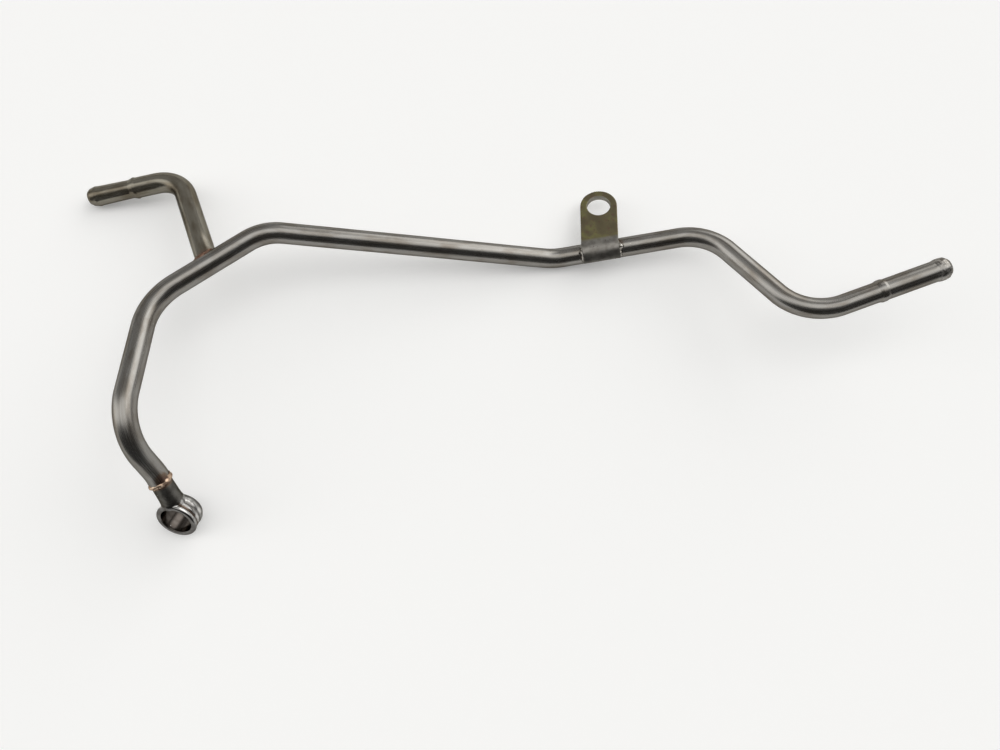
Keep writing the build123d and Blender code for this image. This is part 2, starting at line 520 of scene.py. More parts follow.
@dataclass(frozen=True)
class TubeSteel:
    """Drawn tube with a satin skin: lengthwise lines, faint stains, and heat tint by its brazed joints.

    Hose scuffs begin at scuffed_from millimetres along the stock, which no tube reaches unless it is
    set. The film is the share of the skin that a thin coating keeps from looking like bare metal.
    """

    name: str
    metal: Colour
    stain: Colour
    roughness: float
    torched: tuple[Torched, ...]
    seed: float = 0.0
    scuffed_from: float = 1e6
    scuff_fade: float = 4.0
    film: float = 0.0
    streaked: Colour = (0.30, 0.28, 0.25, 1.0)
    scuffed: Colour = (0.50, 0.48, 0.45, 1.0)
    nicked: Colour = (0.45, 0.43, 0.40, 1.0)
    grain_depth: float = 0.007 * MM

    def material(self, looks: Looks) -> bpy.types.Material:
        """Builds the material.

        Args:
            looks: The shared layers.

        Returns:
            The material.
        """
        surface = Surface(self.name, self.roughness)
        nodes = surface.nodes
        nodes.feed(surface.metal, "Metallic", 1.0 - self.film)
        stock = surface.stock()
        grain = nodes.group(looks.grain, Stock=stock, Seed=self.seed).outputs
        color = nodes.mix(nodes.ramp(grain["Clouds"], 0.42, 0.68), self.metal, self.stain)
        streaks = nodes.ramp(grain["Streaks"], 0.35, 0.7, 0.0, 0.5)
        color = nodes.mix(streaks, color, self.streaked, "SOFT_LIGHT")
        run = nodes.add("SeparateXYZ", Vector=stock).outputs[0]
        near_mouth = nodes.ramp(run, self.scuffed_from, self.scuffed_from + self.scuff_fade)
        patches = nodes.ramp(nodes.noise(surface.where, 0.7, 4.0, 0.6), 0.46, 0.6)
        scuffs = nodes.math("MULTIPLY", near_mouth, patches)
        color = nodes.mix(nodes.math("MULTIPLY", scuffs, 0.6), color, self.scuffed)
        heat = self._heat(surface, looks)
        tinted = nodes.group(looks.heat, Metal=color, Heat=heat, Where=surface.where).outputs
        nicks = surface.specks(looks, 0.35, 0.13, 0.05)
        color = nodes.mix(nicks, tinted["Color"], self.nicked)
        rough = nodes.ramp(grain["Lines"], 0.3, 0.75, self.roughness - 0.05, self.roughness + 0.09)
        rough = nodes.math("ADD", rough, nodes.math("MULTIPLY", tinted["Scale"], 0.2))
        rough = nodes.math("ADD", rough, nodes.math("MULTIPLY", scuffs, 0.1))
        relief = nodes.math("ADD", grain["Lines"], nodes.math("MULTIPLY", grain["Streaks"], 0.8))
        return surface.finish(color, rough, relief, self.grain_depth)

    def _heat(self, surface: Surface, looks: Looks) -> object:
        """How strongly each place was heated, as the strongest of the torched spots there.

        Args:
            surface: The material in the making.
            looks: The shared layers.

        Returns:
            The socket that holds the heat, from 0 to 1, or 0 where no place is torched.
        """
        heat: object = 0.0
        for place in self.torched:
            mask = surface.spot(looks, place.centre, place.reach, place.ragged)
            mask = surface.nodes.math("MULTIPLY", mask, place.strength)
            heat = surface.nodes.math("MAXIMUM", heat, mask)
        return heat


@dataclass(frozen=True)
class TurnedSteel:
    """The banjo fitting's lathe-turned steel: bright metal on its ridges as a painted highlight, and painted
    shade in its hollows, on its ends and in its bore.
    """

    name: str = "turned_fitting_steel"
    # metal is the ridges' bright colour, a painted highlight beside the painted shade of the hollows.
    metal: Colour = (0.62, 0.61, 0.59, 1.0)
    dull_and_painted_shade: Colour = (0.115, 0.11, 0.105, 1.0)
    stain: Colour = (0.105, 0.068, 0.045, 1.0)
    # bore is painted shade: the inside of the eye is darkened as if in shadow.
    bore: Colour = (0.075, 0.064, 0.056, 1.0)
    neck: Colour = (0.13, 0.125, 0.115, 1.0)
    neck_stain: Colour = (0.085, 0.08, 0.072, 1.0)
    nicked: Colour = (0.6, 0.58, 0.55, 1.0)
    groove_height: float = 2.3
    waist_height: float = -0.4
    face_height: float = 4.1
    back_height: float = -2.7
    roughness: float = 0.16
    grain_depth: float = 0.005 * MM

    def material(self, looks: Looks) -> bpy.types.Material:
        """Builds the material.

        Args:
            looks: The shared layers.

        Returns:
            The material.
        """
        surface = Surface(self.name, self.roughness)
        nodes = surface.nodes
        height, radius = surface.turned(EYE_CENTRE, EYE_AXIS)
        neck_height, neck_radius = surface.turned(EYE_CENTRE, NECK_AXIS)
        on_neck = nodes.ramp(neck_height, 8.6, 9.6)
        eye_place = nodes.add("CombineXYZ", X=height, Y=radius).outputs[0]
        neck_place = nodes.add("CombineXYZ", X=neck_height, Y=neck_radius).outputs[0]
        passes = nodes.noise(eye_place, 3.5, 3.0, 0.7)
        neck_passes = nodes.noise(neck_place, 3.0, 3.0, 0.7)
        clouds = nodes.noise(surface.where, 0.28, 4.0, 0.6)
        color = self._eye_color(nodes, height, radius, clouds)
        before_neck = nodes.ramp(neck_height, 9.0, 9.2, 1.0, 0.0)
        # Painted shade inside the bore, up to the neck.
        painted_bore_shade = nodes.math("MULTIPLY", nodes.ramp(radius, 7.05, 7.3, 0.96, 0.0), before_neck)
        color = nodes.mix(painted_bore_shade, color, self.bore)
        neck_color = nodes.mix(nodes.ramp(clouds, 0.35, 0.65), self.neck, self.neck_stain)
        color = nodes.mix(on_neck, color, neck_color)
        heat = nodes.ramp(neck_height, 18.2, 20.4, 0.0, 0.62)
        tinted = nodes.group(looks.heat, Metal=color, Heat=heat, Where=surface.where).outputs
        nicks = surface.specks(looks, 0.6, 0.16, 0.15)
        color = nodes.mix(nicks, tinted["Color"], self.nicked)
        rough = nodes.ramp(passes, 0.3, 0.7, self.roughness - 0.06, self.roughness + 0.06)
        rough = nodes.math("ADD", rough, nodes.math("MULTIPLY", on_neck, 0.14))
        relief = nodes.math("ADD", passes, nodes.math("MULTIPLY", neck_passes, on_neck))
        return surface.finish(color, rough, relief, self.grain_depth)

    def _eye_color(self, nodes: Nodes, height: Socket, radius: Socket, clouds: Socket) -> Socket:
        """The colour of the eye's turned outside, with painted highlights on its ridges and painted shade in
        its hollows and on its ends.

        Args:
            nodes: The material's nodes.
            height: How far a point is along the eye's axis, in millimetres.
            radius: How far it is out from that axis, in millimetres.
            clouds: The value of broad patches.

        Returns:
            The socket that holds the colour.
        """
        from_groove, from_waist = (
            nodes.math("ABSOLUTE", nodes.math("SUBTRACT", height, hollow))
            for hollow in (self.groove_height, self.waist_height)
        )
        # Painted shade: the groove, the waist and both ends are darkened towards the dull colour, so the
        # ridges keep the bright metal as a painted highlight.
        painted_shade_masks = (
            nodes.ramp(from_groove, 0.3, 0.95, 0.85, 0.0),
            nodes.ramp(from_waist, 0.3, 0.95, 0.85, 0.0),
            nodes.ramp(height, self.face_height, self.face_height + 0.5, 0.0, 0.85),
            nodes.ramp(height, self.back_height - 1.2, self.back_height, 0.85, 0.0),
        )
        color = nodes.mix(nodes.ramp(clouds, 0.38, 0.62, 0.0, 0.75), self.metal, self.dull_and_painted_shade)
        for mask in painted_shade_masks:
            color = nodes.mix(mask, color, self.dull_and_painted_shade)
        in_groove = nodes.ramp(from_groove, 0.25, 1.0, 0.9, 0.0)
        dirt = nodes.math("MULTIPLY", in_groove, nodes.ramp(radius, 7.9, 8.3))
        return nodes.mix(nodes.math("MULTIPLY", dirt, nodes.ramp(clouds, 0.35, 0.55)), color, self.stain)


@dataclass(frozen=True)
class BracketSteel:
    """The bracket's rolled sheet: an olive skin in patches, greyer on the saddle by wear and a painted sheen,
    and bare round the hole.
    """

    name: str = "olive_sheet_steel"
    skin: Colour = (0.155, 0.132, 0.080, 1.0)
    greener: Colour = (0.190, 0.180, 0.080, 1.0)
    redder: Colour = (0.150, 0.095, 0.070, 1.0)
    worn_and_painted_sheen: Colour = (0.165, 0.157, 0.145, 1.0)
    paler_and_painted_sheen: Colour = (0.215, 0.207, 0.193, 1.0)
    bare: Colour = (0.31, 0.295, 0.26, 1.0)
    pitted: Colour = (0.05, 0.04, 0.03, 1.0)
    roughness: float = 0.40
    grain_depth: float = 0.012 * MM

    def material(self, looks: Looks) -> bpy.types.Material:
        """Builds the material.

        Args:
            looks: The shared layers.

        Returns:
            The material.
        """
        surface = Surface(self.name, self.roughness)
        nodes = surface.nodes
        _, from_hole = surface.turned(HOLE_CENTRE, TAB_UP)
        _, from_pipe = surface.turned(BRACKET_CENTRE, BRACKET_RUN)
        clouds = nodes.noise(surface.where, 0.16, 4.0, 0.6)
        patches = nodes.noise(surface.where, 0.45, 3.0, 0.5)
        color = nodes.mix(nodes.ramp(clouds, 0.45, 0.7), self.skin, self.greener)
        color = nodes.mix(nodes.ramp(patches, 0.55, 0.72, 0.0, 0.7), color, self.redder)
        # Wear and painted sheen: the saddle is mottled in a paler grey than the tab.
        worn_and_painted_sheen = nodes.mix(nodes.ramp(patches, 0.35, 0.65), self.worn_and_painted_sheen, self.paler_and_painted_sheen)
        color = nodes.mix(nodes.ramp(from_pipe, 8.08, 8.7, 0.9, 0.0), color, worn_and_painted_sheen)
        wall = nodes.ramp(from_hole, 6.08, 6.2, 1.0, 0.0)
        rim = nodes.ramp(from_hole, 6.1, 6.6, 0.6, 0.0)
        rim = nodes.math("MULTIPLY", rim, nodes.ramp(patches, 0.35, 0.6))
        color = nodes.mix(nodes.math("MAXIMUM", wall, rim), color, self.bare)
        pits = surface.specks(looks, 0.5, 0.2, 0.25)
        color = nodes.mix(nodes.math("MULTIPLY", pits, 0.7), color, self.pitted)
        mill = nodes.noise(nodes.vector("MULTIPLY", surface.where, (0.4, 3.0, 3.0)), 1.0, 3.0, 0.6)
        rough = nodes.ramp(clouds, 0.3, 0.7, self.roughness - 0.06, self.roughness + 0.1)
        return surface.finish(color, rough, mill, self.grain_depth)


@dataclass(frozen=True)
class Braze:
    """Filler metal that ran and set: clean or stained in patches, with painted highlights on its ripples, and
    pitted.
    """

    name: str
    clean: Colour
    stained: Colour
    painted_ripple_highlight: Colour
    pitted: Colour = (0.03, 0.025, 0.02, 1.0)
    roughness: float = 0.30
    grain_depth: float = 0.06 * MM

    def material(self, looks: Looks) -> bpy.types.Material:
        """Builds the material.

        Args:
            looks: The shared layers.

        Returns:
            The material.
        """
        surface = Surface(self.name, self.roughness)
        nodes = surface.nodes
        clouds = nodes.noise(surface.where, 0.5, 4.0, 0.6)
        ripples = nodes.noise(surface.where, 2.2, 3.0, 0.6)
        color = nodes.mix(nodes.ramp(clouds, 0.45, 0.62), self.clean, self.stained)
        # Painted highlight: the crests of the ripples are lightened towards a bright colour.
        color = nodes.mix(nodes.ramp(ripples, 0.56, 0.66), color, self.painted_ripple_highlight)
        pits = surface.specks(looks, 1.1, 0.25, 0.2)
        color = nodes.mix(nodes.math("MULTIPLY", pits, 0.8), color, self.pitted)
        rough = nodes.ramp(clouds, 0.3, 0.7, self.roughness - 0.06, self.roughness + 0.14)
        relief = nodes.math("ADD", clouds, nodes.math("MULTIPLY", ripples, 0.5))
        return surface.finish(color, rough, relief, self.grain_depth)


COPPER_BRAZE = Braze(
    "copper_braze",
    clean=(0.50, 0.36, 0.26, 1.0),
    stained=(0.20, 0.12, 0.09, 1.0),
    painted_ripple_highlight=(0.82, 0.72, 0.56, 1.0),
)
RED_COPPER_BRAZE = Braze(
    "red_copper_braze",
    clean=(0.38, 0.235, 0.175, 1.0),
    stained=(0.16, 0.088, 0.066, 1.0),
    painted_ripple_highlight=(0.70, 0.54, 0.43, 1.0),
)
GREY_BRAZE = Braze(
    "grey_braze",
    clean=(0.38, 0.36, 0.33, 1.0),
    stained=(0.20, 0.18, 0.155, 1.0),
    painted_ripple_highlight=(0.66, 0.65, 0.62, 1.0),
    roughness=0.20,
)


@dataclass(frozen=True)
class Station:
    """A cross-section of a tube: its middle, the way that the tube runs, and a fixed side of the stock."""

    centre: Vector
    run_dir: Vector
    side: Vector
    run: float

    def on(self, angle: float, radius: float) -> Vector:
        """The point at an angle round the section and a radius out."""
        return self.centre + outward(self.side, self.run_dir.cross(self.side), angle) * radius

    def back(self, distance: float) -> "Station":
        """The section that lies a distance back along a straight run."""
        return Station(self.centre - self.run_dir * distance, self.run_dir, self.side, self.run - distance)


@dataclass(frozen=True)
class TubeRoute:
    """The bender's plan of a tube: where its straight runs would meet, and the radius of every bend."""

    corners: tuple[Vector, ...]
    bend_radius: float
    step_angle: float = math.radians(3)
    step_run: float = 4 * MM

    def stations(self) -> list[Station]:
        """Walks the tube from end to end.

        Returns:
            Its sections, close together in the bends, without twist.
        """
        runs = [(b - a).normalized() for a, b in zip(self.corners, self.corners[1:])]
        side = across(runs[0])[0]
        here = self.corners[0]
        travelled = 0.0
        found = []
        for index, run_dir in enumerate(runs):
            last = index == len(runs) - 1
            turn = 0.0 if last else run_dir.angle(runs[index + 1])
            length = (self.corners[index + 1] - here).length - self.bend_radius * math.tan(turn / 2)
            steps = max(1, round(length / self.step_run))
            for step in range(steps + last):
                part = length * step / steps
                found.append(Station(here + run_dir * part, run_dir, side, travelled + part))
            here = here + run_dir * length
            travelled += length
            if last:
                break
            axis = run_dir.cross(runs[index + 1]).normalized()
            hub = here + axis.cross(run_dir) * self.bend_radius
            steps = max(2, math.ceil(turn / self.step_angle))
            for step in range(steps):
                spin = Matrix.Rotation(turn * step / steps, 3, axis)
                place = hub + spin @ (here - hub)
                run = travelled + self.bend_radius * turn * step / steps
                found.append(Station(place, spin @ run_dir, spin @ side, run))
            spin = Matrix.Rotation(turn, 3, axis)
            here = hub + spin @ (here - hub)
            side = spin @ side
            travelled += self.bend_radius * turn
        return found


def rounded(outline: Profile, radius: float) -> Profile:
    """Rounds the corners of a turned outline and splits its long runs.

    Args:
        outline: Radius and distance of each corner, in millimetres.
        radius: Radius of the rounding, in millimetres.

    Returns:
        Radius and distance of every section.
    """
    corners = [Vector((r, d)) for r, d in outline]
    found = [corners[0]]
    for before, corner, after in zip(corners, corners[1:], corners[2:]):
        into = (corner - before).normalized()
        out = (after - corner).normalized()
        turn = into.angle(out, 0.0)
        cut = min(radius * math.tan(turn / 2), (corner - before).length / 2, (after - corner).length / 2)
        first, last = corner - into * cut, corner + out * cut
        for step in range(CORNER_STEPS + 1):
            share = step / CORNER_STEPS
            found.append(first.lerp(corner, share).lerp(corner.lerp(last, share), share))
    found.append(corners[-1])
    split = [found[0]]
    for place in found[1:]:
        parts = max(1, math.ceil((place - split[-1]).length / LONGEST_STEP))
        start = split[-1]
        split.extend(start.lerp(place, part / parts) for part in range(1, parts + 1))
    return [(place.x, place.y) for place in split]


def loft(name: str, rings: list[Ring], closed: bool, stock: list[Ring] | None = None) -> bpy.types.Object:
    """Skins a row of closed rings.

    Args:
        name: The new object's name.
        rings: Rings of one length, each a closed loop of points.
        closed: Whether the last ring joins the first; otherwise both ends are capped.
        stock: Where each point lies on the unbent tube, if the finish needs it.

    Returns:
        The new object.
    """
    mesh = bpy.data.meshes.new(name)
    shape = bmesh.new()
    rows = [[shape.verts.new(place) for place in ring] for ring in rings]
    pairs = list(zip(rows, rows[1:])) + ([(rows[-1], rows[0])] if closed else [])
    for lower, upper in pairs:
        for k, corner in enumerate(lower):
            n = (k + 1) % len(lower)
            shape.faces.new((corner, lower[n], upper[n], upper[k]))
    if not closed:
        shape.faces.new(rows[0])
        shape.faces.new(rows[-1])
    bmesh.ops.recalc_face_normals(shape, faces=shape.faces)
    shape.to_mesh(mesh)
    shape.free()
    mesh.shade_smooth()
    mesh.set_sharp_from_angle(angle=SHARP_EDGE)
    if stock:
        held = mesh.attributes.new(STOCK, "FLOAT_VECTOR", "POINT")
        held.data.foreach_set("vector", [value for ring in stock for place in ring for value in place])
    made = bpy.data.objects.new(name, mesh)
    bpy.context.scene.collection.objects.link(made)
    return made


def install(piece: bpy.types.Object, material: bpy.types.Material, slot: str, *nodes: str) -> None:
    """Dresses a new piece and puts it in place of the solids that it stands for.

    Args:
        piece: The new piece.
        material: Its material.
        slot: The record's material slot, which is not used.
        *nodes: Names of the solids that it stands for.
    """
    piece.data.materials.append(material)
    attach(piece, BODY)
    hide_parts(*nodes)
    LOG.info("%s: %d faces, in place of %s", piece.name, len(piece.data.polygons), ", ".join(nodes))


def lathe(name: str, origin: Vector, axis: Vector, outline: Profile, closed: bool) -> bpy.types.Object:
    """Turns an outline round an axis.

    Args:
        name: The new object's name.
        origin: Where heights are counted from.
        axis: The axis's direction.
        outline: Radius and height of each corner, in millimetres.
        closed: Whether the outline is a loop, as of a ring; otherwise its ends are capped.

    Returns:
        The new object.
    """
    level, other = across(axis)
    spokes = [outward(level, other, math.tau * k / TURN_STEPS) for k in range(TURN_STEPS)]
    rings = [
        [origin + (axis * height + spoke * radius) * MM for spoke in spokes] for radius, height in outline
    ]
    return loft(name, rings, closed)


def shaped(
    body: bpy.types.Object,
    joined: list[bpy.types.Object],
    cut: list[bpy.types.Object],
    grain: float,
) -> bpy.types.Object:
    """Joins and cuts a body, then eases all its edges as tumbling does.

    Args:
        body: The body to shape.
        joined: Bodies that become one with it.
        cut: Bodies whose room is taken from it.
        grain: Size of the steps in which the edges are eased, in millimetres.

    Returns:
        The shaped body.
    """
    for helper, action in [(k, "UNION") for k in joined] + [(k, "DIFFERENCE") for k in cut]:
        step = body.modifiers.new(helper.name, "BOOLEAN")
        step.object = helper
        step.operation = action
        step.solver = "EXACT"
    even = body.modifiers.new("even", "REMESH")
    even.mode = "VOXEL"
    even.voxel_size = grain * MM
    even.use_smooth_shade = True
    ease = body.modifiers.new("ease", "SMOOTH")
    ease.factor = EASE_SHARE
    ease.iterations = EASE_ROUNDS
    view = bpy.context.evaluated_depsgraph_get()
    mesh = bpy.data.meshes.new_from_object(body.evaluated_get(view))
    body.modifiers.clear()
    body.data = mesh
    mesh.name = body.name
    mesh.shade_smooth()
    for helper in joined + cut:
        bpy.data.objects.remove(helper)
    return body


@dataclass(frozen=True)
class TurnedFitting:
    """The banjo fitting: a turned eye with a collar, a groove and a waisted barrel, on a drilled neck.

    Its outlines give radius and height in millimetres.
    """

    name: str = "banjo_eye"
    eye_outline: Profile = (
        (7.9, 5.0), (8.75, 4.95), (9.25, 4.6), (9.42, 3.9), (9.25, 3.15), (8.8, 2.6), (8.45, 2.3),
        (8.5, 2.05), (8.78, 1.6), (8.97, 0.85), (8.85, 0.1), (8.6, -0.38), (8.8, -0.85), (8.98, -1.7),
        (8.8, -2.9), (8.35, -4.0), (7.85, -4.9), (7.35, -5.35), (7.0, -5.2), (7.0, 4.6), (7.25, 4.95),
    )
    neck_outline: Profile = (
        (5.3, 5.0), (5.3, 8.6), (5.05, 9.6), (4.9, 11.5),
        (4.75, 17.6), (4.75, 20.2), (3.95, 20.25), (3.95, 24.2),
    )
    bore: Profile = ((7.0, -12.0), (7.0, 12.0))
    passage: Profile = ((2.75, 0.0), (2.75, 30.0))
    grain: float = 0.2

    def build(self) -> bpy.types.Object:
        """Builds the fitting.

        Returns:
            The new object.
        """
        eye = lathe(self.name, EYE_CENTRE, EYE_AXIS, self.eye_outline, True)
        neck = lathe("neck", EYE_CENTRE, NECK_AXIS, self.neck_outline, False)
        bore = lathe("bore", EYE_CENTRE, EYE_AXIS, self.bore, False)
        passage = lathe("passage", EYE_CENTRE, NECK_AXIS, self.passage, False)
        return shaped(eye, [neck], [bore, passage], self.grain)


@dataclass(frozen=True)
class FoldedBracket:
    """The bracket: one sheet with a round-ended tab, folded over the pipe into a saddle.

    Its sizes are in millimetres, but for the wrap, which is the saddle's angle in degrees.
    """

    name: str = "folded_bracket"
    thickness: float = 3.0
    half_width: float = 9.5
    reach: float = TAB_REACH
    lean: float = TAB_LEAN
    hole: Profile = ((6.0, 0.0), (6.0, 14.0))
    wrap: float = 75.0
    end_inset: float = 0.02
    grain: float = 0.22
    tab_steps: int = 40
    round_steps: int = 180
    wrap_steps: int = 30
    width_steps: int = 12

    def build(self) -> bpy.types.Object:
        """Builds the bracket.

        Returns:
            The new object.
        """
        tip = self.reach + self.half_width
        distances = [tip * (1 - (k / self.tab_steps) ** 2) for k in range(self.tab_steps + 1)]
        distances[0] = tip - self.end_inset
        rings = [self._strip(x, 0.0) for x in distances]
        folds = [self.wrap * k / self.wrap_steps for k in range(1, self.wrap_steps + 1)]
        rings += [self._strip(0.0, folded) for folded in folds]
        sheet = loft(self.name, rings, False)
        centre = BRACKET_CENTRE + (TAB_DIR * self.reach + BRACKET_RUN * self.lean) * MM
        hole = lathe("hole", centre, TAB_UP, self.hole, False)
        return shaped(sheet, [], [hole], self.grain)

    def _edge(self, x: float, side: int) -> float:
        """How far the tab reaches to one side, at a distance from the pipe's axis.

        Its edge is the widest of the straight lines from the saddle's corner to the tab's round end.

        Args:
            x: The distance in millimetres, short of the tab's tip.
            side: 1 for the spigot's side, -1 for the other.

        Returns:
            The distance across, in millimetres.
        """
        found = []
        for step in range(self.round_steps + 1):
            turn = math.radians(180 * step / self.round_steps)
            round_x = self.reach + self.half_width * math.cos(turn)
            round_z = side * self.lean + self.half_width * math.sin(turn)
            if round_x >= x:
                found.append(self.half_width + (round_z - self.half_width) * x / round_x)
        return max(found) * side

    def _strip(self, x: float, folded: float) -> Ring:
        """The sheet's section across its width.

        Args:
            x: Distance of the section from the pipe's axis along the tab, in millimetres.
            folded: Angle in degrees round the pipe, past the fold.

        Returns:
            The section's points.
        """
        up = outward(TAB_DIR, TAB_UP, math.radians(90 + folded))
        low = TUBE_RADIUS / MM
        high = low + self.thickness
        left = self._edge(x, -1)
        right = self._edge(x, 1)
        widths = [left + (right - left) * k / self.width_steps for k in range(self.width_steps + 1)]
        ring = [(z, high) for z in widths] + [(z, low) for z in reversed(widths)]
        foot = BRACKET_CENTRE + TAB_DIR * x * MM
        return [foot + (BRACKET_RUN * z + up * r) * MM for z, r in ring]


@dataclass(frozen=True)
class FormedTube:
    """A bent tube of one stock, whose far end is formed into a hose spigot.

    Its spigot gives outer radius and distance from the mouth, in millimetres like the rounding, the
    lip and the waver. A coped tube has the direction of the tube that it stands on, and a vector whose
    length is the radius that it meets.
    """

    name: str
    route: TubeRoute
    spigot: Profile
    rounding: float = 0.8
    lip: float = 0.22
    lip_shares: tuple[float, ...] = (1.0, 0.3, 0.0)
    waver: float = 0.035
    waver_length: float = 14 * MM
    coped_to: tuple[Vector, Vector] | None = None
    clear_of_cope: float = 6.9 * MM
    clear_of_spigot: float = 0.4 * MM

    def build(self) -> bpy.types.Object:
        """Builds the tube with its wall, from the foot to the mouth and back along the bore.

        Returns:
            The new object.
        """
        stations = self.route.stations()
        end = stations[-1]
        foot = self.spigot[-1][1] * MM
        body = [s for s in stations if end.run - s.run > foot + self.clear_of_spigot]
        if self.coped_to:
            body = [body[0]] + [s for s in body if s.run > self.clear_of_cope]
        outline = rounded(self.spigot, self.rounding)
        wall = TUBE_WALL / MM
        outside = [(s, TUBE_RADIUS) for s in body]
        inside = [(s, TUBE_RADIUS - TUBE_WALL) for s in body]
        for radius, distance in reversed(outline):
            if distance > self.lip:
                outside.append((end.back(distance * MM), radius * MM))
                inside.append((end.back(distance * MM), (radius - wall) * MM))
        mouth = outline[0][0]
        for share in self.lip_shares:
            inset = self.lip * (1.0 - math.sqrt(max(0.0, 1.0 - (1.0 - share) ** 2)))
            outside.append((end.back(share * self.lip * MM), (mouth - inset) * MM))
            inside.append((end.back(share * self.lip * MM), (mouth - wall + inset) * MM))
        sections = outside + inside[::-1]
        angles = [math.tau * k / ROUND_STEPS for k in range(ROUND_STEPS)]
        rings = [self._ring(station, radius, angles) for station, radius in sections]
        stock = [
            [Vector((s.run, r * math.cos(a), r * math.sin(a))) for a in angles] for s, r in sections
        ]
        return loft(self.name, rings, True, stock)

    def _ring(self, station: Station, radius: float, angles: list[float]) -> Ring:
        """One ring of the tube, a little out of round, as a bender leaves it.

        Args:
            station: The section.
            radius: Its radius.
            angles: Where the points lie round it.

        Returns:
            The ring's points.
        """
        if self.coped_to and station.run == 0.0:
            foot = [pinched(station, station.on(angle, radius)) - station.centre for angle in angles]
            return [cope(station.centre, station.run_dir, offset, *self.coped_to) for offset in foot]
        ring = []
        for angle in angles:
            place = station.on(angle, radius)
            drift = noise.noise(place / self.waver_length) * self.waver * MM
            place = station.on(angle, radius + drift)
            ring.append(pinched(station, place) if self.coped_to else place)
        return ring


def pinched(station: Station, place: Vector) -> Vector:
    """Lowers the upper skin of the branch towards its foot, where it was pressed to meet the pipe.

    Args:
        station: The section that the point is on.
        place: The point.

    Returns:
        Where the point ends up.
    """
    up = (UPWARD - station.run_dir * station.run_dir.z).normalized()
    height = (place - station.centre).dot(up)
    share = min(1.0, max(0.0, (PINCH_END - station.run) / PINCH_FADE))
    share = share * share * (3 - 2 * share)
    return place - up * max(0.0, height) * FOOT_PINCH * share


def cope(origin: Vector, direction: Vector, offset: Vector, run_dir: Vector, depth: Vector) -> Vector:
    """Where a line beside a branch's axis meets the skin of the tube that it stands on.

    Args:
        origin: Where the two axes meet.
        direction: The branch's direction.
        offset: From the branch's axis to the line.
        run_dir: The direction of the tube below.
        depth: A vector whose length is the radius to meet.

    Returns:
        The meeting point, or the nearest one where the line passes beside the tube.
    """
    flat_offset = offset - run_dir * offset.dot(run_dir)
    flat_direction = direction - run_dir * direction.dot(run_dir)
    a = flat_direction.length_squared
    b = flat_offset.dot(flat_direction)
    c = flat_offset.length_squared - depth.length_squared
    travel = (-b + math.sqrt(max(0.0, b * b - a * c))) / a
    return origin + offset + direction * travel


@dataclass(frozen=True)
class Lump:
    """A drop of filler metal that stands out of a bead.

    Its place is an angle in degrees round the joint and a distance along it in millimetres, and its
    sizes are in millimetres. In a fillet, its height is a share of the fillet and its width is in
    degrees.
    """

    angle: float
    height: float
    width: float
    along: float = 0.0
    length: float = 1.0


@dataclass(frozen=True)
class NeckBead:
    """The uneven ring of filler metal where the neck enters the main pipe.

    Its sizes are in millimetres and its angle in degrees. On the side of climb_angle it lies further
    along the pipe by the climb, and on the other side less far by as much.
    """

    name: str = "neck_braze_ring"
    neck_radius: float = 4.75
    tube_radius: float = 5.0
    height: float = 0.42
    half_width: float = 0.85
    middle: float = 0.3
    climb: float = 1.0
    climb_angle: float = 50.0
    skirt: float = 1.2
    skirt_depth: float = 0.09
    depth: float = 0.35
    turn_step: float = 2.5
    width_steps: int = 24
    lumps: tuple[Lump, ...] = (
        Lump(146.0, 0.62, 1.3, 0.2, 1.2),
        Lump(122.0, 0.34, 0.8, 0.5, 0.7),
        Lump(78.0, 0.50, 0.7, 0.6, 0.6),
        Lump(50.0, 0.55, 0.9, 1.7, 0.8),
        Lump(-4.0, 0.55, 2.2, 2.4, 1.8),
        Lump(-40.0, 0.35, 2.0, 0.6, 0.9),
        Lump(215.0, 0.45, 1.6, 0.2, 0.9),
        Lump(280.0, 0.40, 1.4, -0.2, 0.8),
    )

    def build(self) -> bpy.types.Object:
        """Builds the ring.

        Returns:
            The new object.
        """
        level, other = across(NECK_AXIS)
        rings = []
        for step in range(round(360 / self.turn_step)):
            angle = step * self.turn_step
            out = outward(level, other, math.radians(angle))
            rings.append([
                NECK_JOINT + (NECK_AXIS * along + out * radius) * MM
                for radius, along in self._section(angle)
            ])
        return loft(self.name, rings, True)

    def _section(self, angle: float) -> Profile:
        """The bead's section at one angle round the neck.

        Args:
            angle: The angle in degrees.

        Returns:
            Radius and distance along the joint of each of its points, in millimetres.
        """
        turn = math.radians(angle)
        waver = noise.noise(Vector((math.cos(turn), math.sin(turn), 0.3)) * 2.6)
        middle = self.middle + self.climb * math.cos(turn - math.radians(self.climb_angle))
        half_width = self.half_width * (1.0 + 0.5 * waver)
        height = self.height * (1.0 + 0.7 * waver)
        first = middle - half_width - self.skirt
        last = middle + half_width + self.skirt
        found = []
        for k in range(self.width_steps + 1):
            along = first + (last - first) * k / self.width_steps
            share = (along - middle) / half_width
            rise = height * max(0.0, 1.0 - share * share) ** 0.7 - self.skirt_depth
            for lump in self.lumps:
                aside = math.radians(turn_between(angle, lump.angle)) * self.tube_radius
                rise += lump.height * bell(aside, lump.width) * bell(along - lump.along, lump.length)
            found.append((self._base(along) + rise, along))
        inside = self.neck_radius - self.depth
        return found + [(inside, last), (inside, first)]

    def _base(self, along: float) -> float:
        """The radius of the metal under the bead."""
        return self.tube_radius if along >= 0 else self.neck_radius


